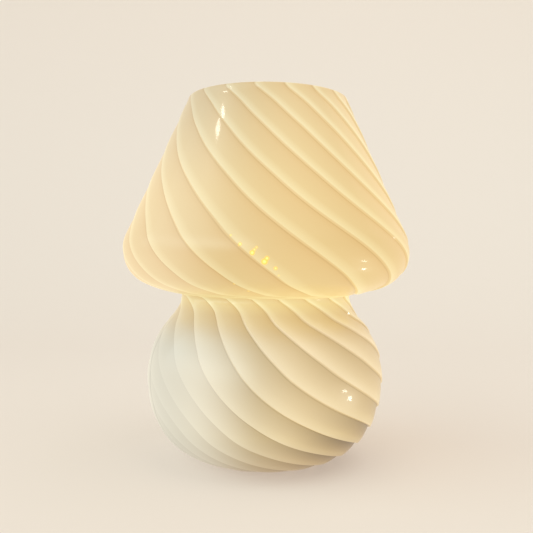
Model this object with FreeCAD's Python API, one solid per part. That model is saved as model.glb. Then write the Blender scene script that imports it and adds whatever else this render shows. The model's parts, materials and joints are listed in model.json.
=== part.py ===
import FreeCAD, Part
import os
from math import acos, asin, atan2, cos, hypot, pi, radians, sin, sqrt

# Mushroom table lamp: one blown glass body on a felt ring, a lampholder on a short threaded stem inside it,
# and a screw-in bulb with light filaments.
#
# Millimetres, +Z up. The origin is on the table, under the middle of the lamp. +Y is the rear, where the cord
# would leave. Radii are outside radii unless their name says bore. Threads are plain cylinders.

Vector = FreeCAD.Vector
UP = Vector(0, 0, 1)

# ---- glass body, outside shape ----
lamp_height = 228.0
wall = 3.6                      # blown glass, with the ribs' crests as its outside
rim_radius = 50.5
shade_radius = 90.0
shoulder_radius = 23.0          # the round edge of the shade
shoulder_height = 132.0         # of that edge's centre
underside_radius = 77.0         # the arc that curves in under the shade
neck_radius = 53.0
crease_height = 104.5           # where the shade's underside would meet the neck
crease_round = 1.6
neck_round = 22.0               # the hollow curve from the neck to the ball
ball_radius = 74.0
ball_height = 53.5              # of the ball's widest circle
ball_top_arc = 54.0
ball_bottom_arc = 69.0
foot_round = 44.0

# ---- glass body, foot ----
pad_thickness = 1.2
pad_width = 6.4
pad_margin = 0.5                # from the pad's outside to the end of the flat foot
punt_flare = 6.5                # past the seat: the hollow pressed up under the lamp widens downwards
punt_depth = 9.0
seat_margin = 1.4               # of the flat ground seat, past the gaskets
floor_wall = 4.8

# ---- glass body, where its solid is divided ----
shade_cut = 137.0               # heights of the level joints
neck_cut = 101.0
ball_top_cut = 75.0
ball_low_cut = 32.0
foot_cut_radius = 35.0          # of the eight-sided joint in the foot, to its flats
patch_half_width = 13.0         # of the piece round the cord inlet

# ---- clamp at the foot ----
stem_radius = 5.0
stem_wall = 1.4
stem_hole_play = 0.6
thread_play = 0.05
gasket_margin = 1.6             # past the washers
gasket_thickness = 1.5
washer_margin = 4.0             # past the nuts' flats
washer_thickness = 1.2
nut_wall = 2.0                  # from the thread to a flat
nut_height = 4.0
nut_chamfer = 0.6
stem_below_nut = 1.0
sleeve_wall = 1.25
sleeve_play = 0.15

# ---- cord inlet ----
cord_bore = 3.2                 # for a round cord 6 mm thick
bushing_wall = 1.3
bushing_flange_width = 2.5
bushing_flange_thickness = 1.6
bushing_barb = 0.8              # past the barrel
bushing_barb_length = 2.6
bushing_barb_slack = 0.6        # from the glass to the barb's wide end
bushing_play = 0.1
inlet_angle = 35.0              # below the level, seen from the centre of the foot's round
window_width = 5.0
window_height = 13.0
window_above_nut = 5.0

# ---- lampholder ----
holder_height = 99.0            # of its open end
holder_length = 52.0
holder_wall = 1.8
holder_collar_wall = 1.65
holder_collar_length = 8.0
holder_flare = 9.0              # height over which the cap widens
cap_edge = 1.5                  # of the upright rim above the widening
spigot_length = 8.0
spigot_play = 0.2
lip_play = 0.3                  # round the bulb's cap
lip_thickness = 2.4
lip_bevel = 1.2
entry_wall = 1.85
entry_length = 10.0
entry_flange_width = 1.3
entry_flange_thickness = 1.6
grub_radius = 1.5
grub_slot = 0.5
grub_slot_depth = 0.8
grub_inset = 0.2                # below the collar's outside
liner_play = 0.3
slot_play = 0.15                # round a contact's leg in the liner
liner_floor = 3.0
liner_boss_length = 6.0
shell_thickness = 0.6
shell_play = 0.08               # round the bulb's screw
shell_length = 20.0
contact_width = 4.0
contact_thickness = 0.45
contact_gap = 0.03              # under the bulb's tip
leg_gap = 0.87                  # from the screw shell to a contact's leg
boss_margin = 0.7               # from a leg's slot to the boss's outside
terminal_offset = 3.6
terminal_radius = 1.4
terminal_head_radius = 2.3
terminal_head_height = 1.6
terminal_slot = 0.6
terminal_above_boss = 7.5
leaf_bend = 4.6                 # from the axis to where the centre contact starts to rise
leaf_end = 1.6
side_pad_reach = 2.2            # of the side contact, in from the screw shell
shell_notch = 1.2               # the screw shell's gap to the centre contact

# ---- bulb ----
bulb_tip_below_lip = 21.0
bulb_length = 78.0
bulb_radius = 22.5
bulb_wall = 0.8
bulb_neck_round = 14.0
screw_radius = 6.95
screw_wall = 0.35
screw_bottom = 5.0              # above the tip
screw_top = 19.0
cap_top = 25.0
cap_flare = 1.45                # the cap's mouth is this much wider than its screw
cement_width = 0.65
tip_radius = 2.4
tip_height = 1.6
tip_dome = 0.8                  # height of its rounded part
screw_lead_in = 0.9             # height of the screw's bevelled end
screw_bevel = 0.5
screw_seat = 0.3                # the cap's end laps down past screw_bottom by this much
insulator_inset = 0.65          # from the screw
insulator_ledge = 0.6           # past the tip
insulator_edge = 0.6
insulator_lap = 0.8             # above screw_bottom
cap_mouth_length = 2.0
cement_length = 2.0
neck_in_cap = 3.0
pillar_flare_wall = 0.8
pillar_throat_radius = 2.6
pillar_throat = 6.0             # heights above the flare's foot
pillar_start = 9.0
pillar_radius = 1.5
pillar_above_filaments = 0.8
filament_count = 6
filament_radius = 0.85
filament_length = 26.0
filament_ring = 10.0
filament_twist = 50.0           # from foot to head, round the pillar
filament_low = 42.0             # above the tip
wire_radius = 0.25
driver_size = (7.5, 1.2, 14.0)
driver_chip = 2.6
chip_margin = 1.0
chip_span = (3.0, 9.0)          # above the board's foot

parts_folder = "parts"

# ---- radii that follow from the sizes above ----
stem_bore = stem_radius - stem_wall
threaded_bore = stem_radius + thread_play
sleeve_radius = stem_radius + sleeve_play + sleeve_wall
nut_across_flats = 2 * (stem_radius + nut_wall)
washer_radius = nut_across_flats / 2 + washer_margin
gasket_radius = washer_radius + gasket_margin
seat_radius = gasket_radius + seat_margin
punt_radius = seat_radius + punt_flare
bushing_barrel = cord_bore + bushing_wall
entry_radius = threaded_bore + entry_wall
entry_flange_radius = entry_radius + entry_flange_width
holder_collar_radius = entry_radius + thread_play + holder_collar_wall
shell_bore = screw_radius + shell_play
shell_radius = shell_bore + shell_thickness
contact_legs = shell_radius + leg_gap
boss_radius = contact_legs + contact_thickness + slot_play + boss_margin
cap_cavity = boss_radius + liner_play
spigot_radius = cap_cavity + holder_wall
holder_bore = spigot_radius + spigot_play
holder_radius = holder_bore + holder_wall
liner_radius = holder_bore - liner_play
insulator_radius = screw_radius - insulator_inset
cap_top_radius = screw_radius + cap_flare
lip_bore = cap_top_radius + lip_play
bulb_neck_radius = cap_top_radius - screw_wall - cement_width


# ---------------------------------------------------------------- drawing helpers
def ring_point(centre, radius, angle):
    """A point at an angle on a circle in the (radius, height) plane."""
    return (centre[0] + radius * cos(angle), centre[1] + radius * sin(angle))


def at(point):
    return Vector(point[0], 0, point[1])


def line(start, end):
    return Part.LineSegment(at(start), at(end)).toShape()


def arc(centre, radius, start, end):
    """An arc from one angle to another, in the (radius, height) plane."""
    middle = ring_point(centre, radius, (start + end) / 2)
    return Part.Arc(at(ring_point(centre, radius, start)), at(middle), at(ring_point(centre, radius, end))).toShape()


def turned(edges):
    """The solid that a closed outline sweeps round the lamp's axis."""
    solid = Part.Face(Part.Wire(edges)).revolve(Vector(0, 0, 0), UP, 360)
    if solid.Volume < 0:
        solid.reverse()
    return solid


def turned_points(points):
    closed = points + points[:1]
    return turned([line(a, b) for a, b in zip(closed, closed[1:])])


def tube(outer, bore, bottom, top):
    return turned_points([(bore, bottom), (outer, bottom), (outer, top), (bore, top)])


def rod(radius, bottom, top, x=0.0, y=0.0):
    return Part.makeCylinder(radius, top - bottom, Vector(x, y, bottom), UP)


def prism(sides, flat_radius, bottom, top):
    corner_radius = flat_radius / cos(pi / sides)
    angles = [(2 * k + 1) * pi / sides for k in range(sides + 1)]
    corners = [Vector(corner_radius * cos(a), corner_radius * sin(a), bottom) for a in angles]
    return Part.Face(Part.makePolygon(corners)).extrude(Vector(0, 0, top - bottom))


def box(low, high):
    size = [b - a for a, b in zip(low, high)]
    return Part.makeBox(*size, Vector(*low))


def save(name, shape):
    shape.exportStep(os.path.join(parts_folder, name + ".step"))


# ---------------------------------------------------------------- glass body
foot_plane = pad_thickness
shoulder_centre = (shade_radius - shoulder_radius, shoulder_height)
rim_centre = (rim_radius - wall / 2, lamp_height - wall / 2)
ball_top_centre = (ball_radius - ball_top_arc, ball_height)
ball_bottom_centre = (ball_radius - ball_bottom_arc, ball_height)


def side_angle():
    """The outward normal of the line that touches the rim's round and the shoulder's round."""
    dr = rim_centre[0] - shoulder_centre[0]
    dz = rim_centre[1] - shoulder_centre[1]
    return atan2(dz, dr) - acos((shoulder_radius - wall / 2) / hypot(dr, dz))


def circle_crossings(first, first_radius, second, second_radius):
    """The two points at the given distances from two centres."""
    dr, dz = second[0] - first[0], second[1] - first[1]
    apart = hypot(dr, dz)
    along = (apart ** 2 + first_radius ** 2 - second_radius ** 2) / (2 * apart)
    across = sqrt(first_radius ** 2 - along ** 2)
    er, ez = dr / apart, dz / apart
    return [(first[0] + along * er - side * across * ez, first[1] + along * ez + side * across * er)
            for side in (1, -1)]


def height_of(point):
    return point[1]


def direction(start, end):
    return atan2(end[1] - start[1], end[0] - start[0])


underside_centre = max(circle_crossings(shoulder_centre, underside_radius - shoulder_radius,
                                        (neck_radius, crease_height), underside_radius), key=height_of)
neck_reach = neck_radius + neck_round - ball_top_centre[0]
neck_centre = (neck_radius + neck_round,
               ball_height + sqrt((ball_top_arc + neck_round) ** 2 - neck_reach ** 2))
# the crease's round lies against the neck's hollow curve and against the arc under the shade
crease_centre = min(circle_crossings(underside_centre, underside_radius + crease_round,
                                     neck_centre, neck_round - crease_round))
foot_reach = ball_bottom_arc - foot_round
foot_centre = (ball_bottom_centre[0] + sqrt(foot_reach ** 2 - (foot_plane + foot_round - ball_height) ** 2),
               foot_plane + foot_round)
punt_roof = foot_plane + punt_depth
punt_round = ((punt_radius - seat_radius) ** 2 + punt_depth ** 2) / (2 * punt_depth)
punt_centre = (seat_radius, punt_roof - punt_round)
glass_floor = punt_roof + floor_wall


def skin(depth):
    """The glass's side from the shoulder to the foot, as arcs, at a depth under the outside."""
    a_side = side_angle()
    a_under = direction(underside_centre, shoulder_centre)
    a_crease = direction(underside_centre, crease_centre)
    a_neck = direction(crease_centre, neck_centre)
    a_ball = direction(ball_top_centre, neck_centre)
    a_foot = direction(ball_bottom_centre, foot_centre)
    return [
        (shoulder_centre, shoulder_radius - depth, a_side, a_under),
        (underside_centre, underside_radius - depth, a_under, a_crease),
        (crease_centre, crease_round + depth, a_crease + pi, a_neck + pi),
        (neck_centre, neck_round + depth, a_neck + pi, a_ball + pi),
        (ball_top_centre, ball_top_arc - depth, a_ball, 0.0),
        (ball_bottom_centre, ball_bottom_arc - depth, 0.0, a_foot),
        (foot_centre, foot_round - depth, a_foot, -pi / 2),
    ]


def joined(steps):
    """Edges of the arcs in turn, with a straight line wherever two of them don't meet."""
    edges = []
    for step, after in zip(steps, steps[1:] + [None]):
        centre, radius, start, end = step
        edges.append(arc(centre, radius, start, end))
        if after is None:
            continue
        here = ring_point(centre, radius, end)
        there = ring_point(after[0], after[1], after[2])
        if hypot(there[0] - here[0], there[1] - here[1]) > 1e-6:
            edges.append(line(here, there))
    return edges


def glass_body():
    outside = skin(0.0)
    inside = skin(wall)
    a_side = side_angle()
    bore = stem_radius + stem_hole_play
    out_start = ring_point(*outside[0][:3])
    in_start = ring_point(*inside[0][:3])
    out_rim = ring_point(rim_centre, wall / 2, a_side)
    in_rim = ring_point(rim_centre, wall / 2, a_side + pi)
    a_punt = direction(punt_centre, (punt_radius, foot_plane))
    inner_punt = punt_round + floor_wall
    a_gutter = asin((foot_plane + wall - punt_centre[1]) / inner_punt)
    gutter = ring_point(punt_centre, inner_punt, a_gutter)
    edges = [line(out_rim, out_start)] + joined(outside)
    edges += [
        line((foot_centre[0], foot_plane), (punt_radius, foot_plane)),
        arc(punt_centre, punt_round, a_punt, pi / 2),
        line((seat_radius, punt_roof), (bore, punt_roof)),
        line((bore, punt_roof), (bore, glass_floor)),
        line((bore, glass_floor), (seat_radius, glass_floor)),
        arc(punt_centre, inner_punt, pi / 2, a_gutter),
        line(gutter, (foot_centre[0], foot_plane + wall)),
    ]
    edges += joined(inside)
    edges += [line(in_start, in_rim), arc(rim_centre, wall / 2, a_side, a_side + pi)]
    solid = turned(Part.__sortEdges__(edges))
    return solid.cut(along_inlet(Part.makeCylinder, bushing_barrel + bushing_play, -3 * wall, 2 * wall))


def divided(glass):
    """The one blown piece as solids that touch at flat joints, so that none of them wraps round the hollow."""
    reach = 2 * shade_radius
    foot_core = prism(8, foot_cut_radius, -1, ball_low_cut)
    patch = box((-patch_half_width, 0, -1), (patch_half_width, reach, ball_low_cut)).cut(foot_core)
    band = rod(reach, -1, ball_low_cut).cut(foot_core)
    heights = [ball_low_cut, ball_top_cut, neck_cut, shade_cut, lamp_height + 1]
    regions = [foot_core, patch, band.cut(patch)]
    regions += [rod(reach, low, high) for low, high in zip(heights, heights[1:])]
    return Part.makeCompound([solid for region in regions for solid in glass.common(region).Solids])


# ---------------------------------------------------------------- cord inlet
inlet_direction = Vector(0, cos(radians(inlet_angle)), -sin(radians(inlet_angle)))
inlet_on_glass = ring_point(foot_centre, foot_round, -radians(inlet_angle))
inlet_place = Vector(0, inlet_on_glass[0], inlet_on_glass[1])


def along_inlet(make, radius, start, end):
    """A cylinder on the inlet's axis. Distances run outwards from the glass's outside."""
    return make(radius, end - start, inlet_place + inlet_direction * start, inlet_direction)


def cord_bushing():
    inner_end = -wall - bushing_barb_length
    body = along_inlet(Part.makeCylinder, bushing_barrel, inner_end, 0.0)
    flange = along_inlet(Part.makeCylinder, bushing_barrel + bushing_flange_width, 0.0, bushing_flange_thickness)
    barb = Part.makeCone(bushing_barrel, bushing_barrel + bushing_barb, bushing_barb_length - bushing_barb_slack,
                         inlet_place + inlet_direction * inner_end, inlet_direction)
    bore = along_inlet(Part.makeCylinder, cord_bore, inner_end - wall, bushing_flange_thickness + wall)
    return body.fuse([flange, barb]).cut(bore).removeSplitter()


# ---------------------------------------------------------------- clamp at the foot
base_gasket_bottom = punt_roof - gasket_thickness
base_washer_bottom = base_gasket_bottom - washer_thickness
base_nut_bottom = base_washer_bottom - nut_height
stem_bottom = base_nut_bottom - stem_below_nut
floor_gasket_top = glass_floor + gasket_thickness
floor_washer_top = floor_gasket_top + washer_thickness
floor_nut_top = floor_washer_top + nut_height
holder_base = holder_height - holder_length
stem_top = holder_base + entry_length
window_bottom = floor_nut_top + window_above_nut


def hex_nut(bottom):
    corner_radius = nut_across_flats / 2 / cos(pi / 6)
    top = bottom + nut_height
    block = prism(6, nut_across_flats / 2, bottom, top)
    small, large = nut_across_flats / 2, corner_radius + nut_chamfer
    dome = turned_points([(0, bottom), (small, bottom), (large, bottom + nut_chamfer),
                          (large, top - nut_chamfer), (small, top), (0, top)])
    return block.common(dome).cut(rod(threaded_bore, bottom - 1, top + 1))


def wire_window(outer):
    """The opening at the rear through which the cord's cores reach the middle of the stem."""
    return box((-window_width / 2, 0, window_bottom),
               (window_width / 2, outer + 1, window_bottom + window_height))


def stem_tube():
    body = tube(stem_radius, stem_bore, stem_bottom, stem_top)
    return body.cut(wire_window(stem_radius))


def stem_sleeve():
    body = tube(sleeve_radius, stem_radius + sleeve_play, floor_nut_top, holder_base)
    return body.cut(wire_window(sleeve_radius))


def foot_pad():
    outer = foot_centre[0] - pad_margin
    return tube(outer, outer - pad_width, 0.0, pad_thickness)


# ---------------------------------------------------------------- lampholder
collar_top = holder_base + holder_collar_length
shoulder_top = collar_top + holder_flare
spigot_top = shoulder_top + spigot_length
lip_bottom = holder_height - lip_thickness
cup_floor = spigot_top + liner_floor
boss_bottom = spigot_top - liner_boss_length
terminal_top = boss_bottom + terminal_above_boss
shell_bottom = cup_floor + contact_thickness
entry_top = holder_base + entry_length
grub_height = holder_base + holder_collar_length / 2 + entry_flange_thickness / 2
bulb_tip_height = holder_height - bulb_tip_below_lip


def grub_hole(play, start, end):
    return Part.makeCylinder(grub_radius + play, end - start, Vector(start, 0, grub_height), Vector(1, 0, 0))


def holder_entry():
    body = turned_points([
        (threaded_bore, holder_base), (entry_flange_radius, holder_base),
        (entry_flange_radius, holder_base + entry_flange_thickness),
        (entry_radius, holder_base + entry_flange_thickness), (entry_radius, entry_top), (threaded_bore, entry_top)])
    return body.cut(grub_hole(thread_play, 0, entry_radius + 1))


def holder_cap():
    bore = entry_radius + thread_play
    sill = holder_base + entry_flange_thickness
    flare_start = (holder_collar_radius, collar_top)
    flare_end = (holder_radius, shoulder_top - cap_edge)
    rise, run = flare_end[1] - flare_start[1], flare_end[0] - flare_start[0]
    round_radius = (rise ** 2 + run ** 2) / (2 * run)
    round_centre = (holder_radius - round_radius, flare_end[1])
    flare = arc(round_centre, round_radius, direction(round_centre, flare_start), 0.0)
    hollow_floor = entry_top + cap_edge / 2
    corners = [flare_end, (holder_radius, shoulder_top), (spigot_radius, shoulder_top), (spigot_radius, spigot_top),
               (cap_cavity, spigot_top), (cap_cavity, hollow_floor + cap_cavity - bore), (bore, hollow_floor),
               (bore, sill), (holder_collar_radius, sill), flare_start]
    edges = [flare] + [line(a, b) for a, b in zip(corners, corners[1:])]
    return turned(edges).cut(grub_hole(thread_play, 0, holder_collar_radius + 1))


def holder_grub_screw():
    end = holder_collar_radius - grub_inset
    slot = box((end - grub_slot_depth, -grub_radius - 1, grub_height - grub_slot / 2),
               (end + 1, grub_radius + 1, grub_height + grub_slot / 2))
    return grub_hole(0.0, stem_radius, end).cut(slot)


def holder_skirt():
    return turned_points([
        (holder_bore, shoulder_top), (holder_radius, shoulder_top), (holder_radius, holder_height - lip_bevel),
        (holder_radius - lip_bevel, holder_height), (lip_bore + lip_bevel / 2, holder_height),
        (lip_bore, holder_height - lip_bevel / 2), (lip_bore, lip_bottom), (holder_bore, lip_bottom)])


def leg_span(side, play):
    """Where a contact's leg stands, left or right of the axis, as the low and high (x, y) of a box."""
    low, high = sorted((side * (contact_legs - play), side * (contact_legs + contact_thickness + play)))
    half = contact_width / 2 + play
    return (low, -half), (high, half)


def holder_liner():
    """The insulating core. Its floor and the boss below it have a slot for each contact's leg."""
    cavity = shell_radius + slot_play
    body = turned_points([
        (0, boss_bottom), (boss_radius, boss_bottom), (boss_radius, spigot_top),
        (liner_radius, spigot_top), (liner_radius, lip_bottom), (cavity, lip_bottom), (cavity, cup_floor),
        (0, cup_floor)])
    for side in (1, -1):
        low, high = leg_span(side, slot_play)
        body = body.cut(box((*low, boss_bottom - 1), (*high, shell_bottom + slot_play)))
        inner, outer = sorted((side * cavity / 2, side * contact_legs))
        body = body.cut(box((inner, low[1], cup_floor), (outer, high[1], shell_bottom + slot_play)))
        body = body.cut(terminal_hole(side, boss_bottom - 1, terminal_top))
    return body


def terminal_hole(side, bottom, top):
    return rod(terminal_radius + thread_play, bottom, top, side * terminal_offset)


def contact_leg(side):
    """The upright leg through the liner and the tail that the terminal screw clamps under the boss."""
    low, high = leg_span(side, 0.0)
    tail_bottom = boss_bottom - contact_thickness
    leg = box((*low, tail_bottom), (*high, shell_bottom))
    start, end = sorted((side * (terminal_offset - terminal_head_radius), side * contact_legs))
    tail = box((start, low[1], tail_bottom), (end, high[1], boss_bottom))
    return leg.fuse(tail).cut(terminal_hole(side, tail_bottom - 1, boss_bottom + 1))


def centre_contact():
    """A leaf that runs in from its leg and springs up to meet the bulb's tip."""
    half = contact_width / 2
    top = bulb_tip_height - contact_gap
    thick = contact_thickness
    outline = [(contact_legs, cup_floor), (leaf_bend, cup_floor), (leaf_end, top - thick), (-leaf_end, top - thick),
               (-leaf_end, top), (leaf_end + thick, top), (leaf_bend + thick, shell_bottom),
               (contact_legs, shell_bottom)]
    corners = [Vector(x, -half, z) for x, z in outline + outline[:1]]
    leaf = Part.Face(Part.makePolygon(corners)).extrude(Vector(0, contact_width, 0))
    return leaf.fuse(contact_leg(1)).removeSplitter()


def side_contact():
    """A strip that the screw shell's edge stands on."""
    half = contact_width / 2
    pad = box((-contact_legs, -half, cup_floor), (side_pad_reach - shell_bore, half, shell_bottom))
    return pad.fuse(contact_leg(-1)).removeSplitter()


def holder_shell():
    """The screw shell, cut away where the centre contact's leg stands."""
    body = tube(shell_radius, shell_bore, shell_bottom, shell_bottom + shell_length)
    low, high = leg_span(1, shell_notch)
    return body.cut(box((shell_bore / 2, low[1], shell_bottom - 1), (*high, shell_bottom + shell_notch)))


def terminal_screws():
    screws = []
    head_top = boss_bottom - contact_thickness
    head_bottom = head_top - terminal_head_height
    for side in (1, -1):
        x = side * terminal_offset
        head = rod(terminal_head_radius, head_bottom, head_top, x)
        slot = box((x - terminal_slot / 2, -terminal_head_radius, head_bottom),
                   (x + terminal_slot / 2, terminal_head_radius, head_bottom + terminal_head_height / 2))
        shank = rod(terminal_radius, head_top, terminal_top, x)
        screws.append(head.cut(slot).fuse(shank).removeSplitter())
    return Part.makeCompound(screws)


# ---------------------------------------------------------------- bulb
def above_tip(height):
    return bulb_tip_height + height


def bulb_tip():
    """The solder contact, a shallow dome whose lowest point is the tip."""
    dome_radius = (tip_radius ** 2 + tip_dome ** 2) / (2 * tip_dome)
    centre = (0, above_tip(dome_radius))
    a_edge = atan2(tip_dome - dome_radius, tip_radius)
    edges = [arc(centre, dome_radius, -pi / 2, a_edge),
             line((tip_radius, above_tip(tip_dome)), (tip_radius, above_tip(tip_height))),
             line((tip_radius, above_tip(tip_height)), (0, above_tip(tip_height))),
             line((0, above_tip(tip_height)), (0, above_tip(0)))]
    return turned(edges)


def bulb_insulator():
    top = above_tip(screw_bottom + insulator_lap)
    return turned_points([
        (0, above_tip(tip_height)), (tip_radius + insulator_ledge, above_tip(tip_height)),
        (insulator_radius, above_tip(screw_bottom - insulator_edge)), (insulator_radius, top), (0, top)])


def bulb_cap():
    inner = screw_radius - screw_wall
    end = above_tip(screw_bottom - screw_seat)
    lap = above_tip(screw_bottom + insulator_lap)
    mouth = above_tip(cap_top - cap_mouth_length)
    return turned_points([
        (insulator_radius, end), (screw_radius - screw_bevel, end),
        (screw_radius, end + screw_lead_in), (screw_radius, above_tip(screw_top)),
        (cap_top_radius, mouth), (cap_top_radius, above_tip(cap_top)),
        (cap_top_radius - screw_wall, above_tip(cap_top)), (cap_top_radius - screw_wall, mouth),
        (inner, above_tip(screw_top)), (inner, lap), (insulator_radius, lap)])


globe_centre = (0.0, above_tip(bulb_length - bulb_radius))


def bulb_cement():
    """The ring that sets the glass neck in the cap."""
    outer = cap_top_radius - screw_wall
    bottom = above_tip(cap_top - cap_mouth_length)
    return tube(outer, bulb_neck_radius, bottom, bottom + cement_length)


def bulb_glass():
    """A globe on a short neck, open at the foot, where the pillar's flare closes it."""
    bottom = above_tip(cap_top - neck_in_cap)
    reach = bulb_neck_radius + bulb_neck_round
    round_centre = (reach, globe_centre[1] - sqrt((bulb_radius + bulb_neck_round) ** 2 - reach ** 2))
    a_meet = direction(round_centre, globe_centre)
    a_globe = a_meet - pi
    inner_neck = bulb_neck_radius - bulb_wall
    edges = [
        line((inner_neck, bottom), (bulb_neck_radius, bottom)),
        line((bulb_neck_radius, bottom), (bulb_neck_radius, round_centre[1])),
        arc(round_centre, bulb_neck_round, pi, a_meet),
        arc(globe_centre, bulb_radius, a_globe, pi / 2),
        line((0, globe_centre[1] + bulb_radius), (0, globe_centre[1] + bulb_radius - bulb_wall)),
        arc(globe_centre, bulb_radius - bulb_wall, pi / 2, a_globe),
        arc(round_centre, bulb_neck_round + bulb_wall, a_meet, pi),
        line((inner_neck, round_centre[1]), (inner_neck, bottom)),
    ]
    return turned(edges)


def filament_ends(index):
    start = 2 * pi * index / filament_count
    end = start + radians(filament_twist)
    foot = Vector(filament_ring * cos(start), filament_ring * sin(start), above_tip(filament_low))
    lean = Vector(filament_ring * cos(end), filament_ring * sin(end), above_tip(filament_low)) - foot
    head = foot + lean + Vector(0, 0, sqrt(filament_length ** 2 - lean.Length ** 2))
    return foot, head


pillar_bottom = above_tip(cap_top - neck_in_cap)
pillar_top = filament_ends(0)[1].z + pillar_above_filaments


def bulb_pillar():
    """The glass inside: a flare that closes the neck, and a rod up past the filaments."""
    flare = bulb_neck_radius - bulb_wall
    return turned_points([
        (0, pillar_bottom), (flare, pillar_bottom), (flare, pillar_bottom + pillar_flare_wall),
        (pillar_throat_radius, pillar_bottom + pillar_throat), (pillar_radius, pillar_bottom + pillar_start),
        (pillar_radius, pillar_top), (0, pillar_top)])


def bar(radius, start, end):
    return Part.makeCylinder(radius, (end - start).Length, start, end - start)


def led_filaments():
    return Part.makeCompound([bar(filament_radius, *filament_ends(k)) for k in range(filament_count)])


def filament_wires():
    """Thin level wires from the pillar out to each filament's foot and head."""
    wires = []
    for k in range(filament_count):
        for end in filament_ends(k):
            out = Vector(end.x, end.y, 0).normalize()
            start = Vector(0, 0, end.z) + out * pillar_radius
            wires.append(bar(wire_radius, start, end - out * filament_radius))
    return Part.makeCompound(wires)


def bulb_driver():
    width, thick, height = driver_size
    bottom = above_tip(screw_bottom + insulator_lap)
    board = box((-width / 2, -thick / 2, bottom), (width / 2, thick / 2, bottom + height))
    chip_low, chip_high = chip_span
    chip = box((chip_margin - width / 2, thick / 2, bottom + chip_low),
               (width / 2 - chip_margin, thick / 2 + driver_chip, bottom + chip_high))
    return board.fuse(chip).removeSplitter()


def main():
    os.makedirs(parts_folder, exist_ok=True)
    save("glass_body", divided(glass_body()))
    save("foot_pad", foot_pad())
    save("base_nut", hex_nut(base_nut_bottom))
    save("base_washer", tube(washer_radius, threaded_bore, base_washer_bottom, base_gasket_bottom))
    save("base_gasket", tube(gasket_radius, threaded_bore, base_gasket_bottom, punt_roof))
    save("floor_gasket", tube(gasket_radius, threaded_bore, glass_floor, floor_gasket_top))
    save("floor_washer", tube(washer_radius, threaded_bore, floor_gasket_top, floor_washer_top))
    save("floor_nut", hex_nut(floor_washer_top))
    save("stem_tube", stem_tube())
    save("stem_sleeve", stem_sleeve())
    save("cord_bushing", cord_bushing())
    save("holder_entry", holder_entry())
    save("holder_cap", holder_cap())
    save("holder_grub_screw", holder_grub_screw())
    save("holder_skirt", holder_skirt())
    save("holder_liner", holder_liner())
    save("holder_shell", holder_shell())
    save("centre_contact", centre_contact())
    save("side_contact", side_contact())
    save("terminal_screws", terminal_screws())
    save("bulb_tip", bulb_tip())
    save("bulb_insulator", bulb_insulator())
    save("bulb_cap", bulb_cap())
    save("bulb_cement", bulb_cement())
    save("bulb_glass", bulb_glass())
    save("bulb_pillar", bulb_pillar())
    save("led_filaments", led_filaments())
    save("filament_wires", filament_wires())
    save("bulb_driver", bulb_driver())


main()
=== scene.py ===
import json
from math import acos, asin, atan2, ceil, cos, hypot, pi, radians, sin, sqrt

import bmesh
import bpy
import numpy as np
from mathutils import Matrix, Vector


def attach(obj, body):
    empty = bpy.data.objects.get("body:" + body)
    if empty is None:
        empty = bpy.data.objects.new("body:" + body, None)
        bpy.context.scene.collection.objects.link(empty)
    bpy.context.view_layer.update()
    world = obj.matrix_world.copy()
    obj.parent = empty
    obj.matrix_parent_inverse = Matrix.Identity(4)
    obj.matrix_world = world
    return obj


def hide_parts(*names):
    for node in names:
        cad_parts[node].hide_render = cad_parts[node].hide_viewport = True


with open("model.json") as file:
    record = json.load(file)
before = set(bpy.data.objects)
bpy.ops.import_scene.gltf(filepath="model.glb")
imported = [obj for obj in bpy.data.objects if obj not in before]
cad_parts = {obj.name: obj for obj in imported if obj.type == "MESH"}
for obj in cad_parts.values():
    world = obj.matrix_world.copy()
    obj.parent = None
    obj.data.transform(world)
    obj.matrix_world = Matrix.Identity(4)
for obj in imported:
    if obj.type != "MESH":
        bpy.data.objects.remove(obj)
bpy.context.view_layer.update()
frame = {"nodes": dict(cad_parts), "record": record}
nodes = frame["nodes"]
mm = 0.001


# helpers for node trees
def put(tree, kind, values=None, **settings):
    node = tree.nodes.new(kind)
    for key, value in settings.items():
        setattr(node, key, value)
    for key, value in (values or {}).items():
        if isinstance(value, bpy.types.NodeSocket):
            tree.links.new(value, node.inputs[key])
        else:
            node.inputs[key].default_value = value
    return node


def calc(tree, operation, *values):
    return put(tree, "ShaderNodeMath", dict(enumerate(values)), operation=operation).outputs[0]


def spread(tree, value, low, high, toLow=0.0, toHigh=1.0, smooth=True):
    node = put(tree, "ShaderNodeMapRange", {"Value": value, "From Min": low, "From Max": high,
                                            "To Min": toLow, "To Max": toHigh})
    node.interpolation_type = "SMOOTHSTEP" if smooth else "LINEAR"
    return node.outputs[0]


def ramp(tree, value, stops):
    node = put(tree, "ShaderNodeValToRGB", {"Fac": value})
    elements = node.color_ramp.elements
    while len(elements) < len(stops):
        elements.new(0.5)
    for element, (place, colour) in zip(elements, stops):
        element.position = place
        element.color = (*colour, 1.0)
    return node.outputs["Color"]


def blendColour(tree, share, first, second, kind="MIX"):
    node = put(tree, "ShaderNodeMix", data_type="RGBA", blend_type=kind)
    for socket, value in ((node.inputs[0], share), (node.inputs[6], first), (node.inputs[7], second)):
        if isinstance(value, bpy.types.NodeSocket):
            tree.links.new(value, socket)
        else:
            socket.default_value = value if isinstance(value, float) else (*value, 1.0)
    return node.outputs[2]


def newMaterial(name):
    material = bpy.data.materials.new(name)
    material.use_nodes = True
    tree = material.node_tree
    tree.nodes.clear()
    return material, tree


def finishMaterial(tree, shader):
    put(tree, "ShaderNodeOutputMaterial", {"Surface": shader})


def objectPlace(tree, scale=(1.0, 1.0, 1.0)):
    place = put(tree, "ShaderNodeTexCoord").outputs["Object"]
    return put(tree, "ShaderNodeMapping", {"Vector": place, "Scale": scale}).outputs[0]


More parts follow.
